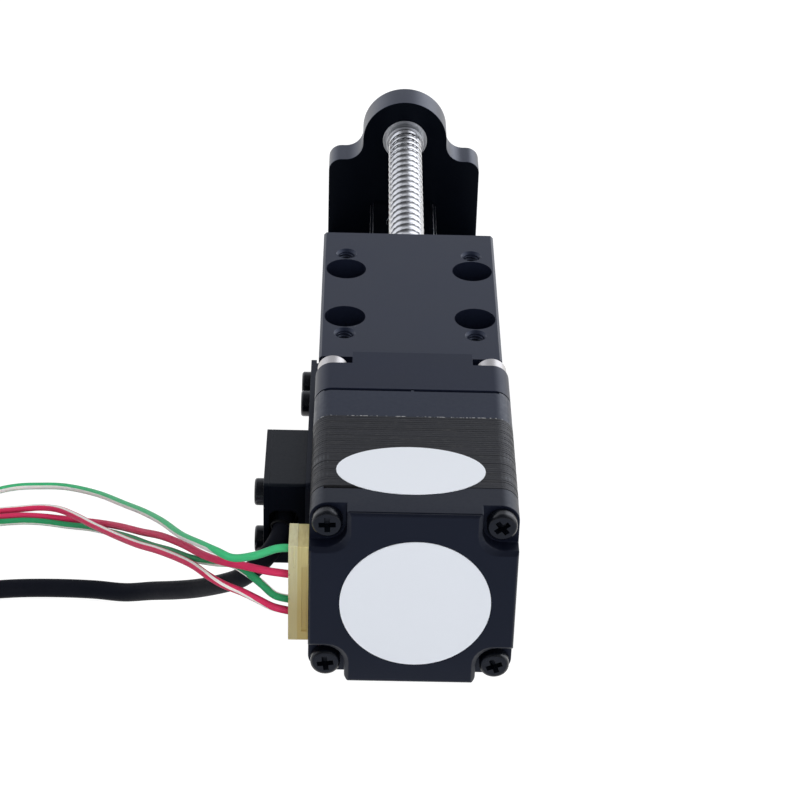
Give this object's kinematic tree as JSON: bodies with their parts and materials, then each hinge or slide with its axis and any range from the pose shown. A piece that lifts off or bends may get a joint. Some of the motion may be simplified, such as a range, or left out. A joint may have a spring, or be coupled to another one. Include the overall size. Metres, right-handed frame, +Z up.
{
  "type": "ball screw linear module",
  "caption": "Compact motor-driven linear module: a ball screw moves a carriage along a guide rail between a flanged motor mount and an end plate, with leads and a sensor cable.",
  "frame": {"origin": "centre of the underside of the base plate, which is the centre of its four tapped holes", "axes": "+Z up from the base plate, +Y along the screw from the motor towards the end plate, +X across, with the leads and the cable box on the -X side"},
  "size_m": [0.118, 0.15, 0.0406],
  "materials": {
    "black_anodised": "satin black anodised, bead blasted",
    "rail_steel": "ground bearing steel",
    "block_steel": "ground bearing steel",
    "black_screw": "black oxide",
    "end_cap_plastic": "moulded",
    "seal_rubber": "moulded rubber",
    "bearing_steel": "hardened and ground",
    "wiper_plastic": "moulded acetal",
    "screw_steel": "ground",
    "coupling_aluminium": "turned",
    "stainless_screw": "bare stainless",
    "cast_black": "die cast, satin black",
    "lamination": "black laminations",
    "copper": "enamelled wire",
    "rotor_steel": "ground laminations",
    "ivory_nylon": "moulded nylon",
    "pin_brass": "tinned brass",
    "painted_sheet": "satin black",
    "box_plastic": "moulded",
    "circuit_board": "solder mask",
    "sticker": "plain white film",
    "lead_green_white": "PVC, green with a white stripe",
    "lead_red": "PVC, red",
    "lead_green": "PVC, green",
    "lead_red_white": "PVC, red with a white stripe",
    "lead_bundle": "four wound leads",
    "tie_nylon": "nylon band",
    "cable_jacket": "PVC jacket"
  },
  "bodies": {
    "frame": {"base_plate": "black_anodised", "guide_rail": "rail_steel", "rail_screws": "black_screw", "end_plate": "black_anodised", "end_plate_screws": "black_screw", "end_bearing_outer": "bearing_steel", "end_bearing_balls": "bearing_steel", "motor_mount": "black_anodised", "mount_screws": "black_screw", "thrust_bearing_outer": "bearing_steel", "thrust_bearing_balls": "bearing_steel", "motor_screws": "stainless_screw", "motor_front_cap": "cast_black", "motor_stator": "lamination", "motor_windings": "copper", "motor_rear_cap": "cast_black", "motor_bearing_outer": "bearing_steel", "motor_bearing_balls": "bearing_steel", "rear_cap_screws": "black_screw", "wave_washer": "bearing_steel", "pin_header": "ivory_nylon", "header_pins": "pin_brass", "lead_plug": "ivory_nylon", "side_plate": "painted_sheet", "side_plate_screws": "black_screw", "cable_box": "box_plastic", "cable_box_cover": "box_plastic", "cover_screws": "black_screw", "sensor_board": "circuit_board", "cable_grommet": "seal_rubber", "rear_label": "sticker", "top_label": "sticker", "lead_green_white": "lead_green_white", "lead_red": "lead_red", "lead_green": "lead_green", "lead_red_white": "lead_red_white", "lead_coil": "lead_bundle", "lead_tie": "tie_nylon", "sensor_cable": "cable_jacket", "cable_coil": "cable_jacket", "cable_tie": "tie_nylon"},
    "screw_shaft": {"ball_screw": "screw_steel", "end_bearing_inner": "bearing_steel", "end_spacer": "bearing_steel", "thrust_bearing_inner": "bearing_steel", "coupling": "coupling_aluminium", "coupling_set_screws": "black_screw", "motor_rotor": "rotor_steel", "motor_shaft": "screw_steel", "motor_bearing_inner": "bearing_steel"},
    "carriage": {"carriage": "black_anodised", "carriage_screws": "black_screw", "guide_block": "block_steel", "block_end_caps": "end_cap_plastic", "block_end_seals": "seal_rubber", "guide_balls": "bearing_steel", "ball_nut": "bearing_steel", "nut_wipers": "wiper_plastic", "nut_set_screws": "black_screw", "nut_balls": "bearing_steel"}
  },
  "joints": [
    {"name": "screw_spin", "type": "hinge", "parent": "frame", "child": "screw_shaft", "pos_m": [0, 0, 0.0265], "axis": [0, -1, 0], "range_deg": [0, 9000]},
    {"name": "carriage_slide", "type": "slide", "parent": "frame", "child": "carriage", "axis": [0, 1, 0], "range_m": [0, 0.05]}
  ],
  "couplings": [
    {"joint": "carriage_slide", "follows": "screw_spin", "m_per_rad": 0.00031831}
  ]
}
